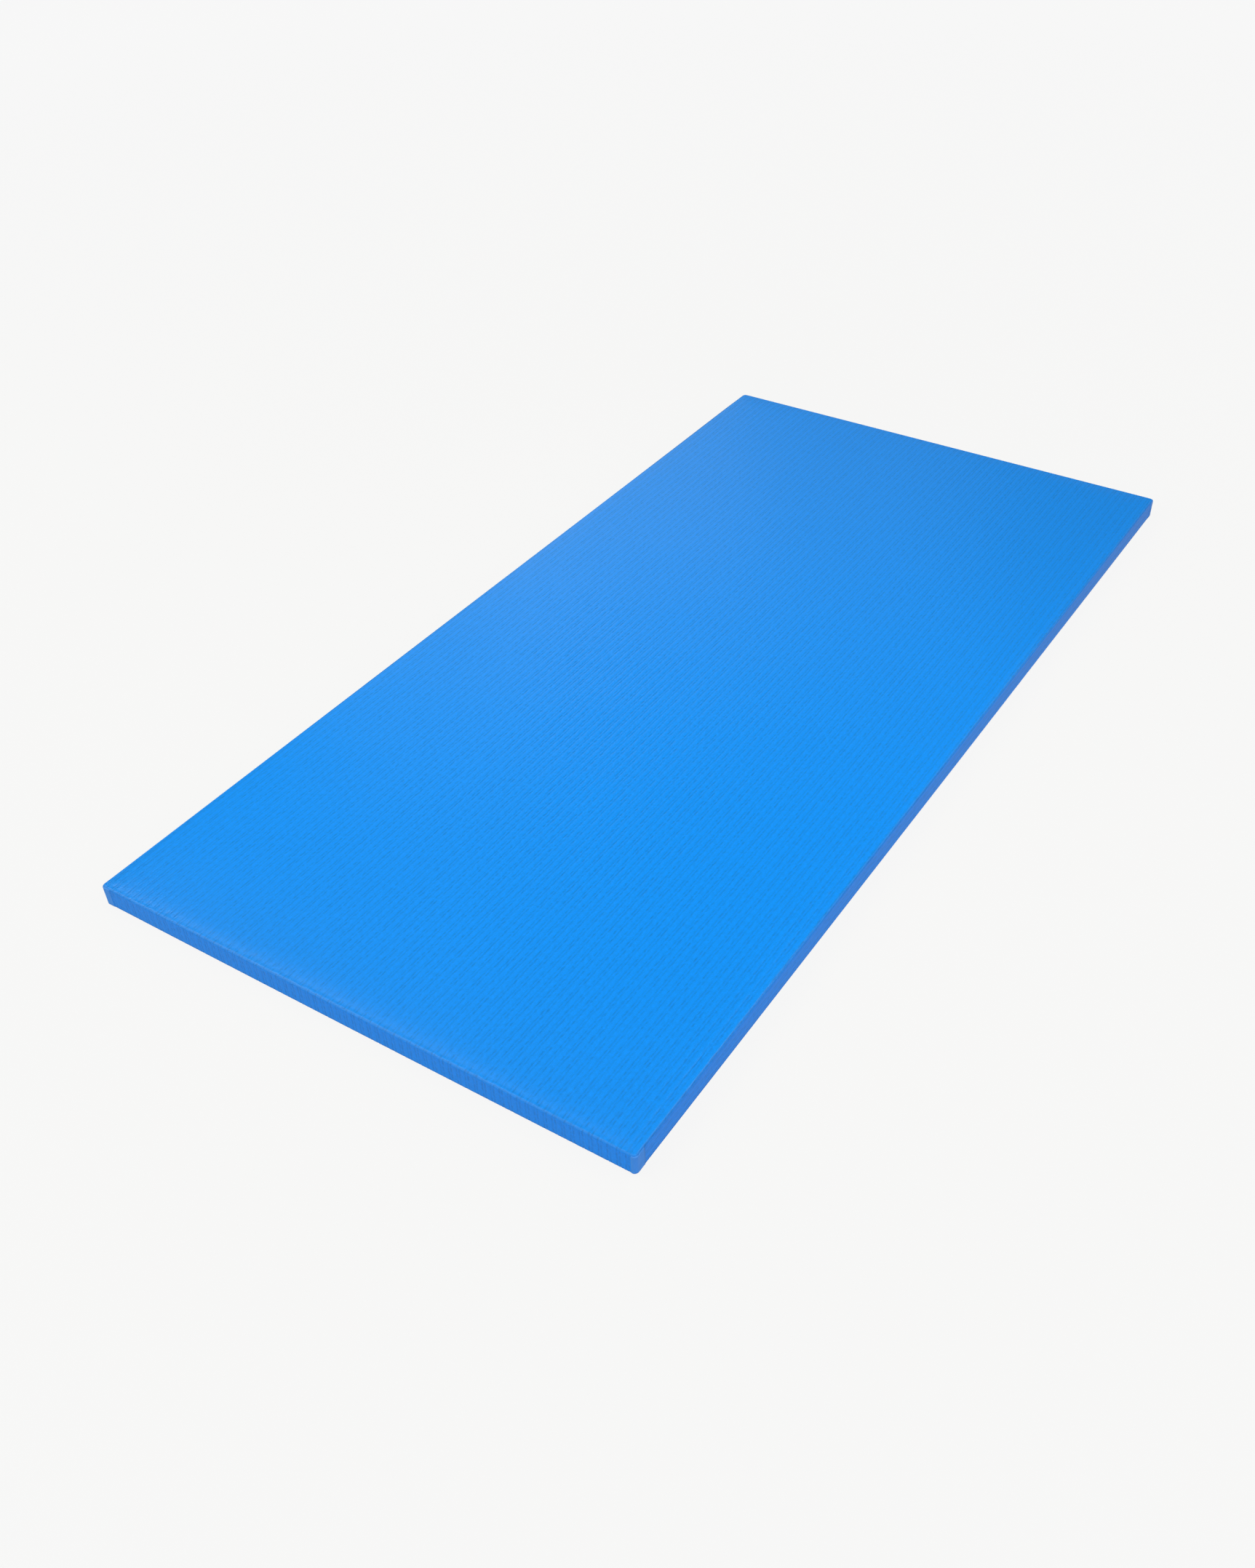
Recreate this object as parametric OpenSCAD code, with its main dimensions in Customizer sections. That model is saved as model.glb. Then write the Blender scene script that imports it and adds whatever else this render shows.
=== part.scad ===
// Flat foam gymnastics and judo practice mat: a rebonded foam block in a
// glued vinyl cover with its hems turned under, a strip of plain vinyl round
// each upright corner, and a rubber grip sheet on the underside.
// Millimetres. Origin at the middle of the underside, +Z up, +Y along the
// length, +X across the width. "Front" is the -Y end, "left" is -X.

/* [Mat] */
// Width over everything, across X
mat_w = 1000; // [600:10:1200]
// Length over everything, along Y
mat_l = 2000; // [1000:10:2400]
// Thickness from the floor to the top face
mat_t = 40; // [25:1:60]

/* [Vinyl cover] */
// Thickness of the cover sheet
cover_t = 1.0; // [0.6:0.1:1.5]
// Radius of the rounded top edge, outside
top_edge_r = 4.5; // [3:0.5:5.5]
// Radius of the rounded bottom edge, outside
bottom_edge_r = 3.0; // [2:0.5:5]
// Radius of the upright corners, outside
corner_r = 7; // [6:0.5:14]
// Width of the hem turned under the mat
hem_w = 40; // [20:1:80]
// Gap of the 45 degree mitre between two hems
mitre_gap = 1.0; // [0.5:0.1:3]
// Width of the dart cut in the cover at each upright corner, under the strip
dart_gap = 0.8; // [0.4:0.1:2]

/* [Grip sheet] */
// Thickness of the rubber grip sheet on the underside
grip_t = 2.0; // [1:0.25:4]
// How far the grip sheet stays in from the mat's edge
grip_inset = 10; // [9:1:30]
// Corner radius of the grip sheet
grip_corner_r = 4; // [2:1:15]

/* [Corner strips] */
// Thickness of the vinyl strip glued round each upright corner
strip_t = 0.5; // [0.3:0.1:1]
// How far each strip is turned under the mat
strip_tab = 5; // [2:0.5:6]
// How far below the top face each strip's upper edge lies
strip_drop = 1.2; // [0.8:0.1:3]
// Reach of the front right strip along the short side
front_right_short = 9; // [8:1:60]
// Reach of the front right strip along the long side
front_right_long = 26; // [8:1:60]
// Reach of the front left strip along the short side
front_left_short = 18; // [8:1:60]
// Reach of the front left strip along the long side
front_left_long = 18; // [8:1:60]
// Reach of the rear right strip along the short side
rear_right_short = 17; // [8:1:60]
// Reach of the rear right strip along the long side
rear_right_long = 19; // [8:1:60]
// Reach of the rear left strip along the short side
rear_left_short = 18; // [8:1:60]
// Reach of the rear left strip along the long side
rear_left_long = 18; // [8:1:60]

/* [Hidden] */
$fn = 48;

// The cover's own outer size: the corner strips stand on it
cover_w = mat_w - 2 * strip_t;
cover_l = mat_l - 2 * strip_t;
// Underside of the hems, where the grip sheet's upper face lies
hem_z = grip_t;
// Reach of a strip is measured from the mat's corner; the part past the
// rounded corner is straight, and its least length is kept above zero
function straight(reach) = max(0.2, reach - corner_r - strip_t);
eps = 0.01;

// Section of a slab: half rounds of two radii at the top and bottom edges
module slab_section(w, z0, z1, rt, rb) {
    translate([-w / 2, z0 + rb]) square([w, z1 - z0 - rt - rb]);
    translate([-(w / 2 - rt), z1 - rt - eps]) square([w - 2 * rt, rt + eps]);
    translate([-(w / 2 - rb), z0]) square([w - 2 * rb, rb + eps]);
    for (s = [-1, 1]) {
        translate([s * (w / 2 - rt), z1 - rt]) circle(r = rt);
        translate([s * (w / 2 - rb), z0 + rb]) circle(r = rb);
    }
}

// Slab with rounded upright corners and rounded top and bottom edges
module slab(w, l, z0, z1, rc, rt, rb) {
    rotate([90, 0, 0])
        linear_extrude(height = l - 2 * rc, center = true)
            slab_section(w, z0, z1, rt, rb);
    rotate([90, 0, 90])
        linear_extrude(height = w - 2 * rc, center = true)
            slab_section(l, z0, z1, rt, rb);
    for (sx = [-1, 1], sy = [-1, 1])
        translate([sx * (w / 2 - rc), sy * (l / 2 - rc), 0])
            rotate_extrude()
                intersection() {
                    slab_section(2 * rc, z0, z1, rt, rb);
                    translate([0, z0 - 1]) square([rc + 1, z1 - z0 + 2]);
                }
}

// The space inside the cover, which the foam fills
module inside() {
    slab(cover_w - 2 * cover_t, cover_l - 2 * cover_t,
         hem_z + cover_t, mat_t - cover_t,
         corner_r - cover_t, top_edge_r - cover_t, bottom_edge_r - cover_t);
}

// Opening between the hems on the underside
module hem_opening() {
    ow = cover_w - 2 * hem_w;
    ol = cover_l - 2 * hem_w;
    translate([-ow / 2, -ol / 2, hem_z]) cube([ow, ol, cover_t + 1]);
}

// Solid rebonded foam block, standing down between the hems
module foam_core() {
    color("#5c6f66") {
        inside();
        hem_opening();
    }
}

// Flat plate with rounded upright corners
module plate(w, l, z0, t, r) {
    translate([0, 0, z0])
        linear_extrude(height = t) {
            translate([-(w / 2 - r), -l / 2]) square([w - 2 * r, l]);
            translate([-w / 2, -(l / 2 - r)]) square([w, l - 2 * r]);
            for (sx = [-1, 1], sy = [-1, 1])
                translate([sx * (w / 2 - r), sy * (l / 2 - r)])
                    circle(r = r);
        }
}

// Section of the cover's rim, measured outwards from the axis of a rounded
// corner: over the top edge, down the side and round the bottom edge
module rim_section() {
    rt = top_edge_r;
    rb = bottom_edge_r;
    translate([corner_r - rt, mat_t - rt])
        intersection() {
            difference() {
                circle(r = rt);
                circle(r = rt - cover_t);
            }
            square([rt, rt]);
        }
    translate([corner_r - cover_t, hem_z + rb])
        square([cover_t, mat_t - rt - rb - hem_z]);
    translate([corner_r - rb, hem_z + rb])
        intersection() {
            difference() {
                circle(r = rb);
                circle(r = rb - cover_t);
            }
            translate([0, -rb]) square([rb, rb]);
        }
}

// The cover's rim all the way round
module rim() {
    cx = cover_w / 2 - corner_r;
    cy = cover_l / 2 - corner_r;
    for (s = [0, 1]) rotate([0, 0, 180 * s]) {
        translate([cx, cy, 0]) rotate_extrude(angle = 90) rim_section();
        translate([-cx, cy, 0]) rotate([0, 0, 90])
            rotate_extrude(angle = 90) rim_section();
        translate([cx, cy, 0]) rotate([90, 0, 0])
            linear_extrude(height = 2 * cy) rim_section();
        translate([-cx, cy, 0]) rotate([90, 0, 90])
            linear_extrude(height = 2 * cx) rim_section();
    }
}

// One vinyl sheet over the top and down the four sides, with its hems under
module top_cover() {
    ow = cover_w - 2 * hem_w;
    ol = cover_l - 2 * hem_w;
    color("#2490f0")
    difference() {
        union() {
            rim();
            plate(cover_w - 2 * top_edge_r, cover_l - 2 * top_edge_r,
                  mat_t - cover_t, cover_t, corner_r - top_edge_r);
            difference() {
                plate(cover_w - 2 * bottom_edge_r,
                      cover_l - 2 * bottom_edge_r, hem_z, cover_t,
                      corner_r - bottom_edge_r);
                translate([-ow / 2, -ol / 2, hem_z - 1])
                    cube([ow, ol, cover_t + 2]);
            }
        }
        // Dart down each upright corner and mitre across each hem corner
        for (sx = [-1, 1], sy = [-1, 1])
            translate([sx * (cover_w / 2 - corner_r),
                       sy * (cover_l / 2 - corner_r), 0])
                rotate([0, 0, atan2(sy, sx)]) {
                    translate([0, -dart_gap / 2, hem_z + cover_t + 0.5])
                        cube([corner_r + 2, dart_gap,
                              mat_t - top_edge_r - hem_z - cover_t - 0.5]);
                    translate([-hem_w * 1.5, -mitre_gap / 2, hem_z - 1])
                        cube([hem_w * 1.5 + corner_r + 2, mitre_gap,
                              cover_t + 1.5]);
                }
    }
}

// Rubber grip sheet glued over the hems and the foam
module grip_sheet() {
    color("#2b2d30")
    plate(mat_w - 2 * grip_inset, mat_l - 2 * grip_inset, 0, grip_t,
          grip_corner_r);
}

// Section of a strip, measured outwards from the axis of the rounded corner
module strip_section() {
    intersection() {
        difference() {
            slab_section(2 * (corner_r + strip_t), hem_z - strip_t,
                         mat_t + strip_t, top_edge_r + strip_t,
                         bottom_edge_r + strip_t);
            slab_section(2 * corner_r, hem_z, mat_t, top_edge_r,
                         bottom_edge_r);
        }
        translate([corner_r - strip_tab, 0])
            square([strip_tab + strip_t + 1, mat_t - strip_drop]);
    }
}

// Plain vinyl strip bent round one upright corner. sx and sy say which
// corner, run_x and run_y are its straight runs past the rounded corner.
module corner_strip(sx, sy, run_x, run_y) {
    color("#4b88dc")
    scale_corner(sx, sy)
        translate([cover_w / 2 - corner_r, cover_l / 2 - corner_r, 0]) {
            rotate_extrude(angle = 90) strip_section();
            // Along the short side, towards -X
            translate([-run_x, 0, 0]) rotate([90, 0, 90])
                linear_extrude(height = run_x) strip_section();
            // Along the long side, towards -Y
            rotate([90, 0, 0])
                linear_extrude(height = run_y) strip_section();
        }
}

// Mirrors the +X +Y corner into another corner
module scale_corner(sx, sy) {
    mirror([sx < 0 ? 1 : 0, 0, 0]) mirror([0, sy < 0 ? 1 : 0, 0]) children();
}

module corner_strip_front_right()
    corner_strip(1, -1, straight(front_right_short), straight(front_right_long));
module corner_strip_front_left()
    corner_strip(-1, -1, straight(front_left_short), straight(front_left_long));
module corner_strip_rear_right()
    corner_strip(1, 1, straight(rear_right_short), straight(rear_right_long));
module corner_strip_rear_left()
    corner_strip(-1, 1, straight(rear_left_short), straight(rear_left_long));

foam_core();
top_cover();
grip_sheet();
corner_strip_front_right();
corner_strip_front_left();
corner_strip_rear_right();
corner_strip_rear_left();
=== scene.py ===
"""Looks for a flat foam practice mat: embossed vinyl cover with turned hems, plain corner strips, a waffle grip sheet and a rebonded foam core."""

import math

import bmesh
import bpy
import numpy as np
from mathutils import Matrix, Vector


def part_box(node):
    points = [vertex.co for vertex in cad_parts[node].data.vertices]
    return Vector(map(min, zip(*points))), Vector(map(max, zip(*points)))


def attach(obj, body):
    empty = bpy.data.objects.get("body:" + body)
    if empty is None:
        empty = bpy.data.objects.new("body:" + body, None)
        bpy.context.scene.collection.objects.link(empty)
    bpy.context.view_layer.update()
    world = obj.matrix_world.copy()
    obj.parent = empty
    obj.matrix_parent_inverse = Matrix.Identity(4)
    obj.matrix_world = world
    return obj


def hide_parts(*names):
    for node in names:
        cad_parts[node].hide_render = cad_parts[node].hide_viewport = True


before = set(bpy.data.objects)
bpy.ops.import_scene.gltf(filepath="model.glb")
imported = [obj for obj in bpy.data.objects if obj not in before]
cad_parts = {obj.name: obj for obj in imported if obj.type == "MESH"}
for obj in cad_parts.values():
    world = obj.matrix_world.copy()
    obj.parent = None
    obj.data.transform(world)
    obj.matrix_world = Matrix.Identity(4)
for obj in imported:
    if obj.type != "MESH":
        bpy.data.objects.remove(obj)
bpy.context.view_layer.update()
MM = 0.001

# ---------------------------------------------------------------- camera
IMG_W, IMG_H = 1725.0, 2156.0
CAM_POS = (1.20029, -1.97276, 1.64236)
CAM_AZ, CAM_EL, CAM_ROLL = 33.3022, 42.2165, -1.4664
CAM_F, CAM_CX, CAM_CY = 2085.50, 917.30, 1185.15


def make_camera():
    az, el, roll = (math.radians(a) for a in (CAM_AZ, CAM_EL, CAM_ROLL))
    f = Vector((-math.sin(az) * math.cos(el), math.cos(az) * math.cos(el), -math.sin(el)))
    r = f.cross(Vector((0, 0, 1))).normalized()
    u = r.cross(f)
    c, s = math.cos(roll), math.sin(roll)
    r2, u2 = c * r + s * u, -s * r + c * u
    m = Matrix((r2, u2, -f)).transposed().to_4x4()
    m.translation = Vector(CAM_POS)
    data = bpy.data.cameras.new("camera")
    data.sensor_fit = "AUTO"
    data.sensor_width = 36.0
    data.lens = CAM_F * 36.0 / IMG_H
    data.shift_x = -(CAM_CX - IMG_W / 2) / IMG_H
    data.shift_y = (CAM_CY - IMG_H / 2) / IMG_H
    data.clip_start, data.clip_end = 0.05, 60.0
    cam = bpy.data.objects.new("camera", data)
    bpy.context.scene.collection.objects.link(cam)
    cam.matrix_world = m
    bpy.context.scene.camera = cam


make_camera()

# ---------------------------------------------------------------- sizes, from the frame
lo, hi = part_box("top_cover")
HX, HY, Z0, Z1 = hi.x, hi.y, lo.z, hi.z  # cover's outer half sizes, hem underside, top
slo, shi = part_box("corner_strip_front_right")
STRIP_T = shi.x - HX  # the strips stand this far proud
glo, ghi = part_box("grip_sheet")
T = 1.0 * MM  # cover sheet
RT, RB, RC = 3.5 * MM, 1.8 * MM, 7.0 * MM  # top edge, bottom edge, upright corner
RCC = 6.2 * MM  # how tightly the sheet is drawn round an upright corner
HEM = 40 * MM
ZB = 0.8 * MM  # the rim of the soft edge bulges down a little past the hem
IX, IY = HX - RC, HY - RC  # the inset rectangle on which the rim's stations stand

rng = np.random.default_rng(20871)

# ---------------------------------------------------------------- rice-straw embossing
PITCH = 14.685 * MM  # one repeat across the width: three straws
SLANT = 0.0050  # the straws run this much out of true with the long edges
HALF = 2.4475 * MM


def drift(u):
    """The calender's repeat is a trifle wider towards the left edge."""
    return 0.0106 * np.clip(0.3 - u, 0, None) ** 2


def rib_coord(u, v):
    """Coordinate across the straws, in metres: 0 is the middle of a narrow straw."""
    return u - drift(u) + SLANT * (v + 0.600) + 0.4991


N_REP = 84
V0, V1, VSTEP = -1.10, 1.10, 0.5 * MM
NV = int((V1 - V0) / VSTEP)


def dash_table(n_lines, dash, gap, seed):
    """For each groove, how deep it is along its length: dashes with short gaps, softened."""
    g = np.random.default_rng(seed)
    out = np.zeros((n_lines, NV), np.float32)
    for k in range(n_lines):
        x = -g.uniform(0, 14)
        row = np.zeros(NV, np.float32)
        while x < (V1 - V0) * 1000:
            d = g.uniform(*dash)
            a = g.uniform(0.45, 1.0)
            i0, i1 = int(max(x, 0) / (VSTEP * 1000)), int(max(x + d, 0) / (VSTEP * 1000))
            row[i0:i1] = a
            x += d + g.uniform(*gap)
        out[k] = row
    # soften along the length
    s = 1.1 / (VSTEP * 1000)
    n = int(4 * s)
    ker = np.exp(-0.5 * (np.arange(-n, n + 1) / s) ** 2)
    ker /= ker.sum()
    pad = np.pad(out, ((0, 0), (n, n)), mode="edge")
    f = np.fft.rfft(pad, axis=1)
    kk = np.zeros(pad.shape[1])
    kk[: len(ker)] = ker
    kk = np.roll(kk, -n)
    res = np.fft.irfft(f * np.fft.rfft(kk)[None], n=pad.shape[1], axis=1)
    return res[:, n:-n].astype(np.float32)


def wander_table(n_lines, length, seed):
    """Smooth random walk from -1 to 1 along each line."""
    g = np.random.default_rng(seed)
    m = int((V1 - V0) / length) + 4
    pts = g.uniform(-1, 1, (n_lines, m))
    x = np.linspace(0, m - 3, NV)
    i = x.astype(int)
    t = x - i
    t = t * t * (3 - 2 * t)
    return ((pts[:, i] * (1 - t) + pts[:, i + 1] * t)).astype(np.float32)


DASH = dash_table(3 * N_REP, (4.5, 12.0), (1.5, 5.0), 5)
DASH_C = dash_table(3 * N_REP, (4.0, 9.0), (3.0, 8.0), 6)
WANDER = wander_table(3 * N_REP, 0.007, 7)
CROSS = wander_table(3 * N_REP, 0.0045, 8)
WIDTH_A, WIDTH_C = 0.85 * MM, 0.8 * MM


def emboss(u, v):
    """Height of the embossing in metres at sheet coordinates u (across) and v (along), and its cavity from 0 to 1."""
    w = rib_coord(u, v)
    rep = np.floor(w / PITCH + 0.5).astype(int)
    x = w - rep * PITCH  # -P/2..P/2, 0 in the middle of the narrow straw
    vi = np.clip(((v - V0) / VSTEP).astype(int), 0, NV - 1)
    r = np.clip(rep + 2, 0, N_REP - 2)
    cav = np.zeros(np.shape(u))
    for off, line, table, amp, wid in (
        (-HALF, 3 * r, DASH, 1.0, WIDTH_A),
        (HALF, 3 * r + 1, DASH, 1.0, WIDTH_A),
        (PITCH / 2, 3 * r + 2, DASH_C, 0.14, WIDTH_C),
        (-PITCH / 2, 3 * (r - 1) + 2, DASH_C, 0.14, WIDTH_C),
    ):
        line = np.clip(line, 0, 3 * N_REP - 1)
        c = off + 0.42 * MM * WANDER[line, vi]
        cav = cav + amp * (0.15 + 0.92 * table[line, vi]) * np.exp(-0.5 * ((x - c) / wid) ** 2)
    # each straw is slightly crowned, and its crown rises and falls along it
    straw = np.where(np.abs(x) < HALF, 0, np.where(x > 0, 1, 2))
    line = np.clip(3 * r + straw, 0, 3 * N_REP - 1)
    crown = 0.5 + 0.5 * CROSS[line, vi]
    return (-0.42 * cav + 0.07 * crown) * MM, np.clip(cav, 0, 1.2)


# ---------------------------------------------------------------- slow unevenness of the hand-made mat


def slow(x, y):
    """Slow rise and fall of the top face, in metres."""
    a = 0.10 * np.sin(2 * math.pi * (x / 0.61 + 0.13)) * np.sin(2 * math.pi * (y / 0.83 + 0.4))
    b = 0.07 * np.sin(2 * math.pi * (x / 0.27 + y / 0.44 + 0.71))
    c = 0.05 * np.sin(2 * math.pi * (y / 0.19 - x / 0.52 + 0.2))
    edge = np.clip((IX - np.abs(x)) / 0.03, 0, 1) * np.clip((IY - np.abs(y)) / 0.03, 0, 1)
    return (a + b + c) * MM * edge


def pillow(x, y):
    """How far the top sags towards its edges, where the sheet is drawn down over the foam, in metres (negative)."""
    a = np.exp(-np.clip(IX - np.abs(x), 0, None) / (15 * MM))
    b = np.exp(-np.clip(IY - np.abs(y), 0, None) / (15 * MM))
    return -1.2 * MM * (a**4 + b**4) ** 0.25


def side_bow(px, py, z):
    """Slow outward bow of the four sides, in metres: the foam's cut isn't quite straight."""
    t = np.clip(z / Z1, 0, 1)
    front = (py < 0) & (np.abs(py) >= IY - 1e-6)
    w = np.where(np.abs(py) >= IY - 1e-6, px / IX, py / IY)
    w = np.clip(w, -1, 1)
    on_end = np.abs(py) >= IY - 1e-6
    amp = np.where(front, 1.0, 0.0) * (1 - w**2) * (1.2 - 0.2 * t)
    right, left = ~on_end & (px > 0), ~on_end & (px <= 0)
    amp = amp + np.where(right, 0.55, 0.0) * (1 - w**2) * (1.0 - 0.6 * t)
    amp = amp + np.where(left, 1.0, 0.0) * np.clip(1 - w**16, 0, 1) * (1.3 * np.exp(-((w - 0.95) / 0.17) ** 2) - 0.30 * np.exp(-((w - 0.35) / 0.3) ** 2))
    amp = amp + 0.12 * np.sin(w * 9.0 + 1.3) * np.sin(math.pi * t) * np.clip(1 - w**32, 0, 1)
    return amp * MM


# ---------------------------------------------------------------- mesh helpers


def new_mesh(name, verts, faces, smooth=True):
    """A mesh from arrays; faces is a list of (n, k) index arrays."""
    me = bpy.data.meshes.new(name)
    me.vertices.add(len(verts))
    me.vertices.foreach_set("co", np.asarray(verts, np.float32).ravel())
    loops = np.concatenate([f.ravel() for f in faces]).astype(np.int32)
    sizes = np.concatenate([np.full(len(f), f.shape[1], np.int32) for f in faces])
    me.loops.add(len(loops))
    me.loops.foreach_set("vertex_index", loops)
    me.polygons.add(len(sizes))
    starts = np.concatenate([[0], np.cumsum(sizes)[:-1]]).astype(np.int32)
    me.polygons.foreach_set("loop_start", starts)
    try:
        me.polygons.foreach_set("loop_total", sizes)
    except (AttributeError, RuntimeError):
        pass
    me.polygons.foreach_set("use_smooth", np.full(len(sizes), smooth, bool))
    me.update(calc_edges=True)
    ob = bpy.data.objects.new(name, me)
    bpy.context.scene.collection.objects.link(ob)
    return ob


def weld(verts, quads, tris, attrs):
    """Merges equal points, and drops faces that have collapsed."""
    key = np.round(np.asarray(verts) * 1e6).astype(np.int64)
    _, first, inv = np.unique(key, axis=0, return_index=True, return_inverse=True)
    inv = inv.ravel()
    verts = verts[first]
    attrs = {k: a[first] for k, a in attrs.items()}
    out3, out4 = [inv[tris]] if len(tris) else [], []
    q = inv[quads]
    same = np.stack([q[:, i] == q[:, (i + 1) % 4] for i in range(4)], 1)
    n = same.sum(1)
    diag = (q[:, 0] == q[:, 2]) | (q[:, 1] == q[:, 3])
    out4.append(q[(n == 0) & ~diag])
    one = q[(n == 1) & ~diag]
    if len(one):
        s1 = same[(n == 1) & ~diag]
        k = s1.argmax(1)  # corners k and k+1 are the same: drop corner k
        idx = np.array([[j for j in range(4) if j != kk] for kk in range(4)])
        out3.append(one[np.arange(len(one))[:, None], idx[k]])
    t = np.concatenate(out3) if out3 else np.zeros((0, 3), int)
    t = t[(t[:, 0] != t[:, 1]) & (t[:, 1] != t[:, 2]) & (t[:, 0] != t[:, 2])]
    return verts, np.concatenate(out4), t, attrs


def add_float(ob, name, values):
    a = ob.data.attributes.new(name, "FLOAT", "POINT")
    a.data.foreach_set("value", np.asarray(values, np.float32))


def add_uv(ob, uv_of_vert, name="sheet"):
    layer = ob.data.uv_layers.new(name=name)
    n = len(ob.data.loops)
    vi = np.empty(n, np.int32)
    ob.data.loops.foreach_get("vertex_index", vi)
    layer.data.foreach_set("uv", np.asarray(uv_of_vert, np.float32)[vi].ravel())


# ---------------------------------------------------------------- the cover


def cover_columns():
    """Points across the width at which the top's mesh has its columns: on and beside every groove."""
    offs = np.array([-3.75, -2.45, -1.2, 0.0, 1.2, 2.45, 3.75, 5.5, 7.3425, 9.2]) * MM
    base = -0.600 - 0.4991
    k = np.arange(-2, 90)
    x = (k[:, None] * PITCH + offs[None] + 0.0 - 0.4991 - 0.600 * SLANT).ravel()
    x = x + drift(x + drift(x))
    x = np.sort(x)
    x = x[(x > -IX + 0.9 * MM) & (x < IX - 0.9 * MM)]
    return np.concatenate([[-IX], x, [IX]])


def build_cover():
    cols = cover_columns()
    rows = np.linspace(-IY, IY, 497)
    nx, ny = len(cols), len(rows)
    # inside the top: columns follow the slight slant of the straws, less so near the edges
    X, Y = np.meshgrid(cols, rows)
    taper = np.clip((IX - np.abs(X)) / 0.05, 0, 1)
    X = X - SLANT * Y * taper
    h, cav = emboss(X, Y)
    Zt = Z1 + h + slow(X, Y) + pillow(X, Y)
    top = np.stack([X, Y, Zt], -1).reshape(-1, 3)
    uv_top = np.stack([X, Y], -1).reshape(-1, 2)
    i = np.arange(ny - 1)[:, None] * nx + np.arange(nx - 1)[None]
    q_top = np.stack([i, i + 1, i + nx + 1, i + nx], -1).reshape(-1, 4)

    # stations round the rim, counter-clockwise seen from above, from the front left
    NC = 12
    st = []  # base x, base y, normal angle, kind, run past the corner's tangent

    def side(points, kind):
        for p in points:
            st.append((*p, kind))

    ang = {"front": -90.0, "right": 0.0, "rear": 90.0, "left": 180.0}
    fx = X[0]
    rx = X[-1]
    ly, ry = Y[:, 0], Y[:, -1]
    for x in fx:
        st.append((x, -IY, -90.0, 0))
    for j in range(1, NC):
        st.append((IX, -IY, -90.0 + 90.0 * j / NC, 4))
    for y in ry:
        st.append((IX, y, 0.0, 1))
    for j in range(1, NC):
        st.append((IX, IY, 90.0 * j / NC, 5))
    for x in rx[::-1]:
        st.append((x, IY, 90.0, 2))
    for j in range(1, NC):
        st.append((-IX, IY, 90.0 + 90.0 * j / NC, 6))
    for y in ly[::-1]:
        st.append((-IX, y, 180.0, 3))
    for j in range(1, NC):
        st.append((-IX, -IY, 180.0 + 90.0 * j / NC, 7))
    st = np.array(st, float)
    bx, by, an = st[:, 0], st[:, 1], np.radians(st[:, 2])
    ns = len(st)
    nxv, nyv = np.cos(an), np.sin(an)
    corner = st[:, 3] >= 4

    # profile of the outer face: (outward distance, height, outward part and upward part of the normal, run along the sheet)
    prof = []
    s = 0.0
    for d in (0.0, 1.25 * MM, RC - RT):
        prof.append((d, Z1, 0.0, 1.0, d))
    for k in range(1, 9):
        a = math.pi / 2 * k / 8
        prof.append((RC - RT + RT * math.sin(a), Z1 - RT * (1 - math.cos(a)), math.sin(a), math.cos(a), RC - RT + RT * a))
    s0 = prof[-1][4]
    zs = np.linspace(Z1 - RT, ZB + RB, 27)[1:]
    for z in zs:
        prof.append((RC, z, 1.0, 0.0, s0 + (Z1 - RT - z)))
    s1 = prof[-1][4]
    for k in range(1, 6):
        a = math.pi / 2 * k / 5
        prof.append((RC - RB * (1 - math.cos(a)), ZB + RB - RB * math.sin(a), math.cos(a), -math.sin(a), s1 + RB * a))
    s2 = prof[-1][4]
    n_outer = len(prof)
    for d, z in ((RC - 4.0 * MM, ZB + 0.10 * MM), (0.0, ZB + 0.6 * MM), (RC - 9.5 * MM, Z0 - 0.05 * MM), (RC - 14 * MM, Z0), (RC - HEM, Z0)):
        prof.append((d, z, 0.0, -1.0, s2 + (RC - RB - d)))
    n_hem = len(prof)
    # and of the inner face, back again
    for d, z in ((RC - HEM, Z0 + T), (RC - 9.5 * MM, Z0 + T), (RC - RB, ZB + T)):
        prof.append((d, z, 0.0, 1.0, 0.0))
    for k in range(1, 4):
        a = math.pi / 2 * k / 3
        prof.append((RC - RB + (RB - T) * math.sin(a), ZB + RB - (RB - T) * math.cos(a), -math.sin(a), math.cos(a), 0.0))
    prof.append((RC - T, Z1 - RT, -1.0, 0.0, 0.0))
    for k in range(1, 4):
        a = math.pi / 2 * k / 3
        prof.append((RC - RT + (RT - T) * math.cos(a), Z1 - RT + (RT - T) * math.sin(a), -math.cos(a), -math.sin(a), 0.0))
    for d in (0.0, -6 * MM, -14 * MM, -28 * MM, -60 * MM):
        prof.append((d, Z1 - T, 0.0, -1.0, 0.0))
    prof = np.array(prof)

    npf = len(prof)
    D = prof[:, 0][:, None]
    z = np.repeat(prof[:, 1][:, None], ns, 1)
    # a row further in than the rim's rectangle keeps its stations inside the smaller rectangle
    inn = np.minimum(D, 0.0)
    out = np.maximum(D, 0.0)
    BX = np.clip(bx[None], -IX - inn, IX + inn)
    BY = np.clip(by[None], -IY - inn, IY + inn)
    rc = np.minimum(out, RCC)
    grow = np.where(corner[None], out - rc, 0.0)
    reach = np.where(corner[None], rc, out)
    PX = BX + np.sign(bx)[None] * grow + nxv[None] * reach
    PY = BY + np.sign(by)[None] * grow + nyv[None] * reach
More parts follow.
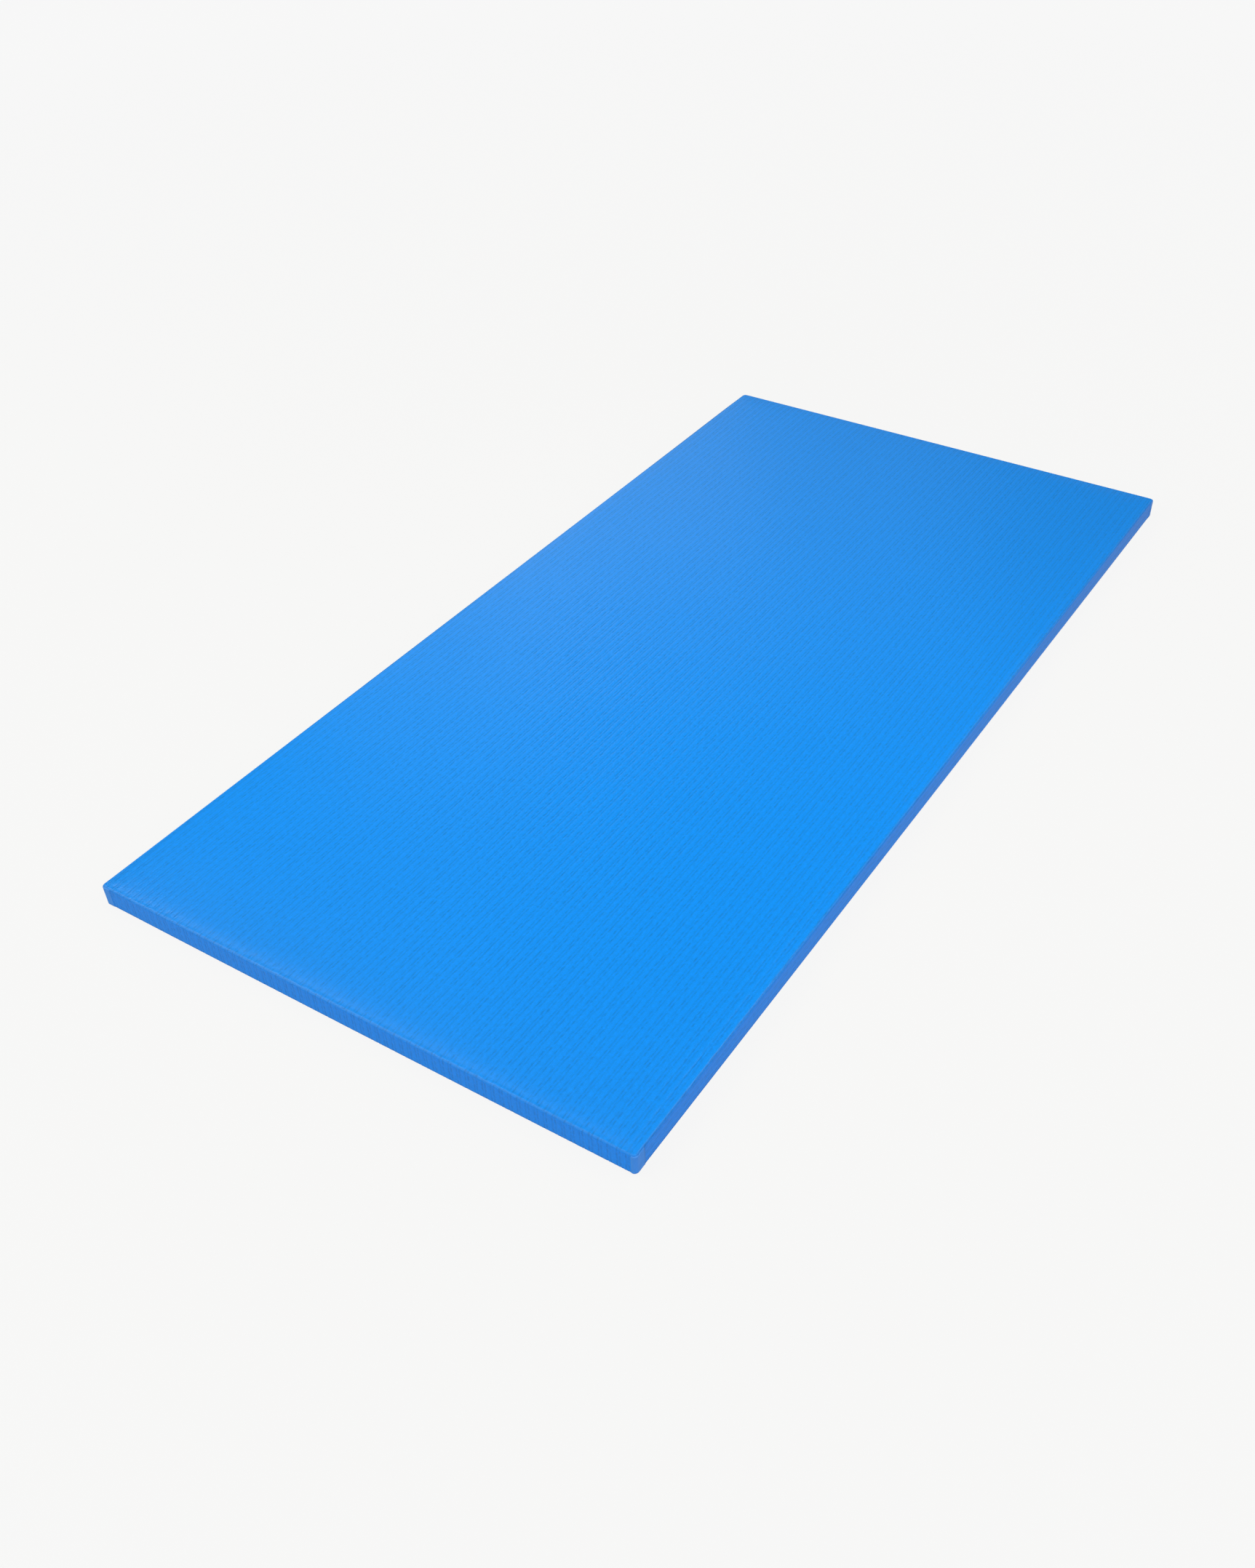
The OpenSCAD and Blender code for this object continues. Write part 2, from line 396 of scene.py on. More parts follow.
    # sheet coordinates of each point
    run = prof[:, 4][:, None]
    on_end = np.isin(st[:, 3], (0, 2))[None] | (corner & (np.abs(np.sin(an)) > np.abs(np.cos(an))))[None]
    sx, sy = np.sign(np.where(np.abs(bx) > 1e-9, bx, 1)), np.sign(np.where(np.abs(by) > 1e-9, by, 1))
    arc_end = np.where(corner, np.abs(np.pi / 2 - np.abs(np.arcsin(np.clip(nyv, -1, 1)))), 0)
    arc_side = np.where(corner, np.abs(np.arcsin(np.clip(nyv, -1, 1))), 0)
    U = np.where(on_end, bx[None] + sx[None] * out * arc_end[None], sx[None] * (IX + run))
    V = np.where(on_end, sy[None] * (IY + run), by[None] + sy[None] * out * arc_side[None])
    h, cv = emboss(U, V)
    # the embossing is pulled flat where the sheet is drawn round an upright corner, and it isn't on the inner face
    level = np.ones((npf, ns))
    level[:, corner] = 0.15
    near = np.minimum(IX - np.abs(bx), IY - np.abs(by))
    outer = (np.arange(npf) < n_outer)[:, None]
    level = np.where(outer, level, 0.0)
    # the sheet is drawn tight round the top's edge, which pulls the straws nearly flat there
    tight = np.interp(prof[:, 3], [0.0, 0.15, 0.9, 1.0], [0.8, 0.3, 0.35, 1.0])[:, None]
    h, cv = h * level * tight, cv * level
    steep = prof[:, 2] * prof[:, 3] * 2  # 1 half way round the top's edge
    # painted shade: the colour is darkened round the top's edge, holding down the light that the edge catches
    painted_rim_shade = np.where((np.arange(npf) < n_outer) & (prof[:, 3] > 0), np.clip(steep, 0, 1), 0.0)
    # painted shade: the rim by the floor is darkened in the colour, standing in for the shade along the bottom
    painted_floor_shade = np.clip(1 - (prof[:, 1] - ZB) / (5 * MM), 0, 1) * 1.3
    painted_rim_shade = np.where((np.arange(npf) < n_outer) & (prof[:, 3] <= 0), painted_floor_shade, painted_rim_shade)
    painted_rim_shade = np.repeat(painted_rim_shade[:, None], ns, 1)
    bow = side_bow(bx[None] + 0 * D, by[None] + 0 * D, z)
    bow = np.where(np.arange(npf)[:, None] < n_hem, bow, bow)
    amount = np.clip(D / RC, 0, 1) ** 2
    PX = PX + nxv[None] * (h * prof[:, 2][:, None] + bow * amount)
    PY = PY + nyv[None] * (h * prof[:, 2][:, None] + bow * amount)
    PZ = z + h * prof[:, 3][:, None] * np.where(outer, 1, 0)
    PZ = PZ + pillow(BX, BY) * np.clip((z - ZB) / (Z1 - ZB), 0, 1) ** 2
    ring = np.stack([PX, PY, PZ], -1).reshape(-1, 3)
    uv_ring = np.stack([U, V], -1).reshape(-1, 2)
    j = np.arange(npf - 1)[:, None] * ns + np.arange(ns)[None]
    jn = np.arange(npf - 1)[:, None] * ns + (np.arange(ns)[None] + 1) % ns
    q_ring = np.stack([j, j + ns, jn + ns, jn], -1).reshape(-1, 4)

    # make the top's border and the ring's first row the same points
    tb = top.reshape(ny, nx, 3)
    cav_top = cav.copy()

    # inner top face: a fan
    base = len(top)
    last = base + (npf - 1) * ns + np.arange(ns)
    centre = np.array([[0.0, 0.0, Z1 - T]])
    c_id = base + npf * ns
    tris = np.stack([np.full(ns, c_id), np.roll(last, -1), last], -1)
    verts = np.concatenate([top, ring, centre])
    uv = np.concatenate([uv_top, uv_ring, [[0, 0]]])
    cavs = np.concatenate([cav_top.ravel(), cv.ravel(), [0.0]])
    painted_rim_shades = np.concatenate([np.zeros(len(top)), painted_rim_shade.ravel(), [0.0]])

    # snap: the top's border vertices and the ring's row 0 agree in x and y, so give them one height
    ring0 = base + np.arange(ns)
    key = lambda a: np.round(a[:, :2] * 1e6).astype(np.int64)
    border = np.unique(np.concatenate([np.arange(nx), (ny - 1) * nx + np.arange(nx), np.arange(ny) * nx, np.arange(ny) * nx + nx - 1]))
    lookup = {tuple(k): i for k, i in zip(key(verts[border]), border)}
    for r in ring0:
        i = lookup.get(tuple(key(verts[r : r + 1])[0]))
        if i is not None:
            verts[r] = verts[i]
    quads = np.concatenate([q_top, q_ring + base])
    verts, quads, tris, at = weld(verts, quads, tris, {"uv": uv, "cav": cavs, "painted_rim_shade": painted_rim_shades})
    ob = new_mesh("vinyl_cover", verts, [quads, tris])
    # painted shade: the grooves' depth, used to darken their colour
    add_float(ob, "groove_shade", at["cav"])
    add_float(ob, "painted_rim_shade", at["painted_rim_shade"])
    # painted light and shade: a slow tone change over the top, a little darker at the near end and the far right and a
    # little lighter far left
    u, v = np.clip(at["uv"][:, 0], -HX, HX), np.clip(at["uv"][:, 1], -HY, HY)
    far = np.clip((v - 0.2) / 0.8, 0, 1)
    painted_slow_shading = 1 - 0.055 * np.exp(-(v + HY) / 0.09) * (1.25 - u) - 0.075 * far * np.clip(u + 0.05, -0.35, 0.5) / 0.5
    over = np.maximum(np.abs(at["uv"][:, 0]) - HX, np.abs(at["uv"][:, 1]) - HY) / (6 * MM) + 0.5
    painted_slow_shading = 1 + (painted_slow_shading - 1) * (1 - np.clip(over, 0, 1))  # on the top only
    add_float(ob, "painted_slow_shading", painted_slow_shading)
    add_uv(ob, at["uv"])
    return ob


# ---------------------------------------------------------------- corner strips


def build_strip(name, sx, sy, reach_end, reach_side, seed, slant=0.0, soft=1.6):
    """A strip of plain vinyl bent round one upright corner, from under the top's edge down and under the mat."""
    g = np.random.default_rng(seed)
    th = STRIP_T - 0.02 * MM
    # lengths are measured from the mat's outermost planes
    flat = RC - RCC  # straight run between the station of the side and the start of the bend
    a_end, a_side = reach_end - RC - STRIP_T, reach_side - RC - STRIP_T
    arc = RCC * math.pi / 2
    total = 2 * flat + arc
    s_pts = np.concatenate([
        np.linspace(-a_end, 0, max(4, int(a_end / (1.2 * MM))))[:-1],
        np.linspace(0, flat, 5)[:-1],
        np.linspace(flat, flat + arc, 13)[:-1],
        np.linspace(flat + arc, total, 5)[:-1],
        np.linspace(total, total + a_side, max(4, int(a_side / (1.2 * MM)))),
    ])
    # run down the strip: round the top edge, down, and under
    a0 = math.radians(58)
    zs = np.linspace(Z1 - RT, ZB + RB, 18)[1:]
    P = []
    for k in range(7):
        a = a0 + (math.pi / 2 - a0) * k / 6
        P.append((RC - RT + RT * math.sin(a), Z1 - RT + RT * math.cos(a), math.sin(a), math.cos(a)))
    for z in zs:
        P.append((RC, z, 1.0, 0.0))
    for k in range(1, 6):
        a = math.pi / 2 * k / 5
        P.append((RC - RB + RB * math.cos(a), ZB + RB - RB * math.sin(a), math.cos(a), -math.sin(a)))
    P.append((RC - 4.0 * MM, ZB + 0.05 * MM, 0.0, -1.0))
    P.append((RC - 5.0 * MM, ZB + 0.1 * MM, 0.0, -1.0))
    P = np.array(P)
    npf, ns = len(P), len(s_pts)
    S, R = np.meshgrid(s_pts, np.arange(npf))
    zz = P[R, 1]
    # the long side's cut edge leans a little and bulges
    tz = np.clip((Z1 - zz) / (Z1 - Z0), 0, 1)
    lean = slant * (tz + 0.25 * np.sin(math.pi * tz))
    over = np.clip((S - total) / max(a_side, 1e-6), 0, 1)
    S = S + lean * over
    theta = np.clip((S - flat) / RCC, 0, math.pi / 2)
    before, after = np.minimum(S, 0), np.maximum(S - total, 0)
    first = np.clip(S, 0, flat) / flat  # how far along the straight run before the bend
    second = np.clip(S - flat - arc, 0, flat) / flat
    d = P[R, 0]
    # thickness: feathered at the upper edge, and eased at the cut edges
    t = np.full(S.shape, th)
    t *= np.clip((Z1 - 0.2 * MM - zz) / (4.0 * MM), 0.10, 1) ** 0.7
    e1, e2 = np.abs(S - S[:, :1]), np.abs(S[:, -1:] - S)
    ease = np.clip(np.minimum(e1 / (1.6 * MM), e2 / (soft * MM)), 0, 1)
    t_out = t * (0.30 + 0.70 * np.sqrt(ease))
    # soft creases of a sheet drawn round a corner
    ph = g.uniform(0, 6.28, 4)
    wave = 0.06 * np.sin(S / MM * 0.55 + ph[0] + 1.1 * np.sin(zz / MM * 0.16 + ph[1]))
    wave += 0.05 * np.sin(zz / MM * 0.42 + ph[2] + S / MM * 0.21)
    wave *= MM * np.clip(ease, 0.2, 1)

    def place(off):
        rc_ = np.minimum(d, RCC)
        gx = (d - rc_) * np.where(S <= 0, 0.0, np.where(S < flat, first, 1.0))
        gy = (d - rc_) * np.where(S >= total, 0.0, np.where(S > flat + arc, 1.0 - second, 1.0))
        nx_, ny_ = np.sin(theta), np.cos(theta)
        # on the straight runs the offset is square to the side
        px = IX + before + np.where(theta <= 0, gx, d - rc_ + nx_ * rc_) + off * P[R, 2] * nx_
        py = IY - after + np.where(theta >= math.pi / 2 - 1e-9, gy, d - rc_ + ny_ * rc_) + off * P[R, 2] * ny_
        sag = pillow(IX + before, IY - after) * np.clip((zz - ZB) / (Z1 - ZB), 0, 1) ** 2
        pz = zz + off * P[R, 3] + sag
        return np.stack([px * sx, py * sy, pz], -1)

    outer = place(t_out + np.clip(wave, -0.10 * MM, 0.10 * MM) * (t / th))
    inner = place(np.full(S.shape, 0.02 * MM))
    # follow the mat's sides where they bow
    for grid in (outer, inner):
        fall = np.clip(d / RC, 0, 1) ** 2
        b = side_bow(grid[..., 0], np.full(S.shape, sy * IY), zz)
        grid[..., 1] += sy * np.where(theta <= 0, b, 0) * fall
        b = side_bow(np.full(S.shape, sx * IX), np.clip(grid[..., 1], -IY + 1e-4, IY - 1e-4), zz)
        grid[..., 0] += sx * np.where(theta >= math.pi / 2 - 1e-9, b, 0) * fall
    n = npf * ns
    verts = np.concatenate([outer.reshape(-1, 3), inner.reshape(-1, 3)])
    i = np.arange(npf - 1)[:, None] * ns + np.arange(ns - 1)[None]
    qo = np.stack([i, i + 1, i + ns + 1, i + ns], -1).reshape(-1, 4)
    qi = qo[:, ::-1] + n
    rim = []
    top_r = np.arange(ns)
    bot_r = (npf - 1) * ns + np.arange(ns)
    lef = np.arange(npf) * ns
    rig = np.arange(npf) * ns + ns - 1
    for loop, flip in ((top_r, True), (bot_r, False), (lef, False), (rig, True)):
        a, b = loop[:-1], loop[1:]
        q = np.stack([a, b, b + n, a + n], -1)
        rim.append(q if flip else q[:, ::-1])
    quads = np.concatenate([qo, qi] + rim)
    ob = new_mesh(name, verts, [quads])
    bm = bmesh.new()
    bm.from_mesh(ob.data)
    bmesh.ops.recalc_face_normals(bm, faces=bm.faces)
    bm.to_mesh(ob.data)
    bm.free()
    uv = np.concatenate([np.stack([S.ravel(), zz.ravel()], -1)] * 2)
    add_uv(ob, uv)
    # painted shadow: the colour is darkened along the cut edge on the long side, which stands a little off the cover
    painted_step_shadow = np.exp(-((np.abs(S[:, -1:] - S) / (1.3 * MM)) ** 2)) * (1.0 if soft < 1 else 0.3)
    add_float(ob, "rim", np.concatenate([painted_step_shadow.ravel()] * 2))
    cut = (total + a_end + a_side, float(np.hypot(*np.diff(P[:, :2], axis=0).T).sum()))
    return ob, cut


# ---------------------------------------------------------------- foam block


def build_foam():
    """The rebonded foam: a sawn block that the cover draws in a little at its edges, stepped where it sits on the hems."""
    flo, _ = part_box("foam_core")
    gap = 0.12 * MM
    top, bot = Z1 - T - gap, Z0 + T + gap
    r = RT - T
    side = RC - T - gap
    NC = 8
    xs, ys = np.linspace(-IX, IX, 81), np.linspace(-IY, IY, 161)
    st = [(x, -IY, -90.0) for x in xs]
    st += [(IX, -IY, -90.0 + 90.0 * j / NC) for j in range(1, NC)]
    st += [(IX, y, 0.0) for y in ys]
    st += [(IX, IY, 90.0 * j / NC) for j in range(1, NC)]
    st += [(x, IY, 90.0) for x in xs[::-1]]
    st += [(-IX, IY, 90.0 + 90.0 * j / NC) for j in range(1, NC)]
    st += [(-IX, y, 180.0) for y in ys[::-1]]
    st += [(-IX, -IY, 180.0 + 90.0 * j / NC) for j in range(1, NC)]
    st = np.array(st)
    an = np.radians(st[:, 2])
    corner = np.abs(np.sin(2 * an)) > 1e-6
    P = [(d * MM, top) for d in (-220, -90, -60, -28, -14, -6, 0)]
    for k in range(7):
        a = math.pi / 2 * k / 6
        P.append((side - r + r * math.sin(a), top - r + r * math.cos(a)))
    for z in np.linspace(top - r, bot + 1.5 * MM, 12)[1:]:
        P.append((side, z))
    for k in range(1, 5):
        a = math.pi / 2 * k / 4
        P.append((side - 1.5 * MM * (1 - math.cos(a)), bot + 1.5 * MM * (1 - math.sin(a))))
    P += [(0.0, bot), (RC - HEM + 0.4 * MM, bot), (RC - HEM - gap, bot), (RC - HEM - gap, flo.z + 0.05 * MM), (-60 * MM, flo.z + 0.02 * MM), (-220 * MM, flo.z + 0.02 * MM)]
    P = np.array(P)
    D, z = P[:, :1], P[:, 1][:, None]
    inn, out = np.minimum(D, 0), np.maximum(D, 0)
    BX = np.clip(st[:, 0][None], -IX - inn, IX + inn)
    BY = np.clip(st[:, 1][None], -IY - inn, IY + inn)
    rc = np.minimum(out, RCC)
    grow = np.where(corner[None], out - rc, 0.0)
    reach = np.where(corner[None], rc, out) + 0.0 * BX
    bow = side_bow(st[:, 0][None] + 0 * D, st[:, 1][None] + 0 * D, z + 0 * BX) * np.clip(D / RC, 0, 1) ** 2
    X = BX + np.sign(st[:, 0])[None] * grow + np.cos(an)[None] * (reach + bow)
    Y = BY + np.sign(st[:, 1])[None] * grow + np.sin(an)[None] * (reach + bow)
    Z = z + pillow(BX, BY) * np.clip((z - ZB) / (Z1 - ZB), 0, 1) ** 2
    npf, ns = len(P), len(st)
    ring = np.stack([X, Y, Z], -1).reshape(-1, 3)
    verts = np.concatenate([ring, [[0, 0, top], [0, 0, flo.z + 0.02 * MM]]])
    j = np.arange(npf - 1)[:, None] * ns + np.arange(ns)[None]
    jn = np.arange(npf - 1)[:, None] * ns + (np.arange(ns)[None] + 1) % ns
    quads = np.stack([j, j + ns, jn + ns, jn], -1).reshape(-1, 4)
    first, last = np.arange(ns), (npf - 1) * ns + np.arange(ns)
    tris = np.concatenate([
        np.stack([np.full(ns, npf * ns), first, np.roll(first, -1)], -1),
        np.stack([np.full(ns, npf * ns + 1), np.roll(last, -1), last], -1),
    ])
    verts, quads, tris, _ = weld(verts, quads, tris, {})
    return new_mesh("rebonded_foam_block", verts, [quads, tris])


# ---------------------------------------------------------------- grip sheet


def build_grip():
    """Rubber sheet whose underside is a waffle of raised ribs round shallow square cells."""
    x0, x1, y0, y1, z0, z1 = glo.x, ghi.x, glo.y, ghi.y, glo.z, ghi.z
    m = 5.0 * MM  # plain border
    nx, ny = 80, 161
    px, py = (x1 - x0 - 2 * m) / nx, (y1 - y0 - 2 * m) / ny
    w, s, depth = 1.1 * MM, 1.8 * MM, 0.7 * MM
    verts, quads = [], []
    CX = x0 + m + px * np.arange(nx)
    CY = y0 + m + py * np.arange(ny)
    gx, gy = np.meshgrid(CX, CY)
    gx, gy = gx.ravel(), gy.ravel()
    n = nx * ny

    def pts(dx, dy, z):
        return np.stack([gx + dx, gy + dy, np.full(n, z)], -1)

    cell = np.stack([
        pts(w, w, z0), pts(px - w, w, z0), pts(px - w, py - w, z0), pts(w, py - w, z0),
        pts(s, s, z0 + depth), pts(px - s, s, z0 + depth), pts(px - s, py - s, z0 + depth), pts(s, py - s, z0 + depth),
    ], 1)  # n,8,3
    V = cell.reshape(-1, 3)
    b = np.arange(n)[:, None] * 8
    Q = []
    Q.append(b + np.array([[7, 6, 5, 4]]))  # cell floor, facing down
    for k in range(4):
        k2 = (k + 1) % 4
        Q.append(b + np.array([[k, 4 + k, 4 + k2, k2]]))
    bi = np.arange(n).reshape(ny, nx)
    left, right = bi[:, :-1].ravel() * 8, bi[:, 1:].ravel() * 8
    Q.append(np.stack([left + 1, left + 2, right + 3, right + 0], -1))
    down, up = bi[:-1].ravel() * 8, bi[1:].ravel() * 8
    Q.append(np.stack([down + 3, up + 0, up + 1, down + 2], -1))
    a, c, d_, e = (bi[:-1, :-1].ravel() * 8, bi[:-1, 1:].ravel() * 8, bi[1:, 1:].ravel() * 8, bi[1:, :-1].ravel() * 8)
    Q.append(np.stack([a + 2, e + 1, d_ + 0, c + 3], -1))
    quads = np.concatenate(Q)
    # border: a ring from the outermost cells' rims to the sheet's edge, then up and over the top
    ring = []
    ring += [bi[0, k] * 8 + j for k in range(nx) for j in (0, 1)]
    ring += [bi[k, -1] * 8 + j for k in range(ny) for j in (1, 2)]
    ring += [bi[-1, k] * 8 + j for k in range(nx - 1, -1, -1) for j in (2, 3)]
    ring += [bi[k, 0] * 8 + j for k in range(ny - 1, -1, -1) for j in (3, 0)]
    r = [ring[0]]
    for v in ring[1:]:
        if v != r[-1]:
            r.append(v)
    if r[-1] == r[0]:
        r.pop()
    r = np.array(r)
    R = V[r].copy()
    cr = 4.0 * MM

    def outer_ring(grow, z):
        """The same stations pushed out to the sheet's rounded outline, less grow."""
        ax, ay = (x1 - x0) / 2 - grow, (y1 - y0) / 2 - grow
        P = R.copy()
        hx0, hy0 = (x1 - x0) / 2 - m - w, (y1 - y0) / 2 - m - w
        P[:, 0] = R[:, 0] / hx0 * ax
        P[:, 1] = R[:, 1] / hy0 * ay
        # round the corners
        rr = max(cr - grow, 0.2 * MM)
        for k in range(len(P)):
            qx, qy = abs(P[k, 0]), abs(P[k, 1])
            ox, oy = qx - (ax - rr), qy - (ay - rr)
            if ox > 0 and oy > 0:
                L = math.hypot(ox, oy)
                P[k, 0] = math.copysign(ax - rr + ox / L * rr, P[k, 0])
                P[k, 1] = math.copysign(ay - rr + oy / L * rr, P[k, 1])
        P[:, 2] = z
        return P

    rings = [outer_ring(0.4 * MM, z0), outer_ring(0.0, z0 + 0.4 * MM), outer_ring(0.0, z1 - 0.3 * MM), outer_ring(0.3 * MM, z1)]
    nr = len(r)
    base = len(V)
    allv = np.concatenate([V] + rings + [np.array([[(x0 + x1) / 2, (y0 + y1) / 2, z1]])])
    ids = [r] + [base + i * nr + np.arange(nr) for i in range(len(rings))]
    for a_, b_ in zip(ids[:-1], ids[1:]):
        a2, b2 = np.roll(a_, -1), np.roll(b_, -1)
        quads = np.concatenate([quads, np.stack([a_, a2, b2, b_], -1)])
    c_id = len(allv) - 1
    lastr = ids[-1]
    tris = np.stack([np.full(nr, c_id), lastr, np.roll(lastr, -1)], -1)
    ob = new_mesh("grip_rubber_sheet", allv, [quads, tris], smooth=False)
    return ob


# ---------------------------------------------------------------- node helpers


class Nodes:
    """Short names for building a material's node tree."""

    def __init__(self, name):
        self.mat = bpy.data.materials.new(name)
        self.mat.use_nodes = True
        self.nt = self.mat.node_tree
        self.nt.nodes.clear()
        self.out = self.nt.nodes.new("ShaderNodeOutputMaterial")
        self.bsdf = self.nt.nodes.new("ShaderNodeBsdfPrincipled")
        self.nt.links.new(self.bsdf.outputs[0], self.out.inputs["Surface"])

    def new(self, kind, **props):
        n = self.nt.nodes.new(kind)
        for k, v in props.items():
            setattr(n, k, v)
        return n

    def link(self, a, b):
        self.nt.links.new(a, b)

    def value(self, socket, v):
        if isinstance(v, bpy.types.NodeSocket):
            self.link(v, socket)
        else:
            socket.default_value = v

    def math(self, op, a, b=None, c=None, clamp=False):
        n = self.new("ShaderNodeMath", operation=op, use_clamp=clamp)
        for i, v in enumerate((a, b, c)):
            if v is not None:
                self.value(n.inputs[i], v)
        return n.outputs[0]

    def mix(self, fac, a, b, blend="MIX"):
        n = self.new("ShaderNodeMix", data_type="RGBA", blend_type=blend, clamp_factor=True)
        self.value(n.inputs[0], fac)
        self.value(n.inputs[6], a)
        self.value(n.inputs[7], b)
        return n.outputs[2]

    def ramp(self, fac, stops, interp="LINEAR"):
        n = self.new("ShaderNodeValToRGB")
        n.color_ramp.interpolation = interp
        e = n.color_ramp.elements
        while len(e) > 1:
            e.remove(e[-1])
        e[0].position, e[0].color = stops[0][0], (*stops[0][1], 1) if len(stops[0][1]) == 3 else stops[0][1]
        for p, c in stops[1:]:
            x = e.new(p)
            x.color = (*c, 1) if len(c) == 3 else c
        self.link(fac, n.inputs[0])
        return n.outputs[0]

    def map_range(self, v, a, b, c, d):
        n = self.new("ShaderNodeMapRange")
        self.link(v, n.inputs[0])
        for i, x in enumerate((a, b, c, d)):
            n.inputs[i + 1].default_value = x
        return n.outputs[0]

    def noise(self, vec, scale, detail=2.0, rough=0.5, dim="3D"):
        n = self.new("ShaderNodeTexNoise", noise_dimensions=dim)
        if vec is not None:
            self.link(vec, n.inputs["Vector"])
        n.inputs["Scale"].default_value = scale
        n.inputs["Detail"].default_value = detail
        n.inputs["Roughness"].default_value = rough
        return n.outputs[0]

    def scaled(self, vec, s, loc=(0, 0, 0)):
        n = self.new("ShaderNodeMapping")
        self.link(vec, n.inputs["Vector"])
        n.inputs["Scale"].default_value = s
        n.inputs["Location"].default_value = loc
        return n.outputs[0]


# ---------------------------------------------------------------- materials

COVER_COL = (0.001, 0.213, 0.821)
COVER_SPEC, COVER_ROUGH = 0.375, 0.32


def mat_cover():
    m = Nodes("embossed_vinyl")
    uv = m.new("ShaderNodeUVMap", uv_map="sheet").outputs[0]
    cav = m.new("ShaderNodeAttribute", attribute_name="groove_shade").outputs["Fac"]
    # fine strands along each straw, and finer ones across it
    along = m.noise(m.scaled(uv, (900, 95, 1)), 1.0, 3.0, 0.6)
    across = m.noise(m.scaled(uv, (260, 620, 1)), 1.0, 2.0, 0.55)
    grain = m.noise(m.scaled(uv, (2600, 2600, 1)), 1.0, 2.0, 0.6)
    cloud = m.noise(m.scaled(uv, (3.1, 2.3, 1)), 1.0, 3.0, 0.55)
    tone = m.math("MULTIPLY_ADD", along, 0.46, 0.805)
    tone = m.math("ADD", tone, m.math("MULTIPLY_ADD", across, 0.36, -0.18))
    tone = m.math("ADD", tone, m.math("MULTIPLY_ADD", cloud, 0.05, -0.025))
    # painted shade: the grooves are darkened in the colour
    tone = m.math("SUBTRACT", tone, m.math("MULTIPLY", cav, 0.28))
    # painted shade: the colour is darkened round the top's edge and along the rim by the floor, and both are made
    # rougher
    painted_rim_shade = m.new("ShaderNodeAttribute", attribute_name="painted_rim_shade").outputs["Fac"]
    tone = m.math("MULTIPLY", tone, m.math("MULTIPLY_ADD", painted_rim_shade, -0.22, 1.0))
    blotch = m.noise(m.scaled(uv, (240, 150, 1)), 1.0, 2.0, 0.6)
    tone = m.math("ADD", tone, m.math("MULTIPLY_ADD", blotch, 0.17, -0.085))
    # painted light and shade: the slow tone change over the top, darker at the near end and far right, lighter far left
    painted_slow_shading = m.new("ShaderNodeAttribute", attribute_name="painted_slow_shading").outputs["Fac"]
    tone = m.math("MULTIPLY", tone, painted_slow_shading)
    base = m.mix(1.0, (*COVER_COL, 1), tone, "MULTIPLY")
    m.link(base, m.bsdf.inputs["Base Color"])
    rough = m.math("MULTIPLY_ADD", grain, 0.12, COVER_ROUGH - 0.06)
    rough = m.math("MULTIPLY_ADD", m.math("MINIMUM", painted_rim_shade, 1.0), 0.30, rough)
    m.link(rough, m.bsdf.inputs["Roughness"])
    m.bsdf.inputs["IOR"].default_value = 1.5
    m.bsdf.inputs["Specular IOR Level"].default_value = COVER_SPEC
    height = m.math("ADD", m.math("MULTIPLY", along, 0.5), m.math("MULTIPLY", across, 0.45))
    height = m.math("ADD", height, m.math("MULTIPLY", grain, 0.12))
    bump = m.new("ShaderNodeBump")
    bump.inputs["Strength"].default_value = 0.35
    bump.inputs["Distance"].default_value = 0.15 * MM
    m.link(height, bump.inputs["Height"])
    m.link(bump.outputs[0], m.bsdf.inputs["Normal"])
    return m.mat


STRIP_COL = (0.036, 0.230, 0.745)


def mat_strip():
    m = Nodes("plain_vinyl_strip")
    co = m.new("ShaderNodeTexCoord").outputs["Object"]
    cloud = m.noise(m.scaled(co, (60, 60, 35)), 1.0, 3.0, 0.55)
    grain = m.noise(m.scaled(co, (1500, 1500, 1500)), 1.0, 2.0, 0.6)
    scuff = m.noise(m.scaled(co, (220, 220, 60)), 1.0, 3.0, 0.65)
    tone = m.math("MULTIPLY_ADD", cloud, 0.18, 0.91)
    tone = m.math("ADD", tone, m.math("MULTIPLY_ADD", scuff, 0.12, -0.06))
    # painted shadow: darkens the colour along the cut edge on the long side
    rim = m.new("ShaderNodeAttribute", attribute_name="rim").outputs["Fac"]
    tone = m.math("MULTIPLY", tone, m.math("MULTIPLY_ADD", rim, -0.36, 1.0))
    base = m.mix(1.0, (*STRIP_COL, 1), tone, "MULTIPLY")
    m.link(base, m.bsdf.inputs["Base Color"])
    rough = m.math("MULTIPLY_ADD", grain, 0.10, 0.36)
    m.link(rough, m.bsdf.inputs["Roughness"])
    m.bsdf.inputs["IOR"].default_value = 1.5
    m.bsdf.inputs["Specular IOR Level"].default_value = 0.45
    bump = m.new("ShaderNodeBump")
    bump.inputs["Strength"].default_value = 0.25
    bump.inputs["Distance"].default_value = 0.06 * MM
    m.link(m.math("ADD", grain, m.math("MULTIPLY", scuff, 0.8)), bump.inputs["Height"])
    m.link(bump.outputs[0], m.bsdf.inputs["Normal"])
    return m.mat


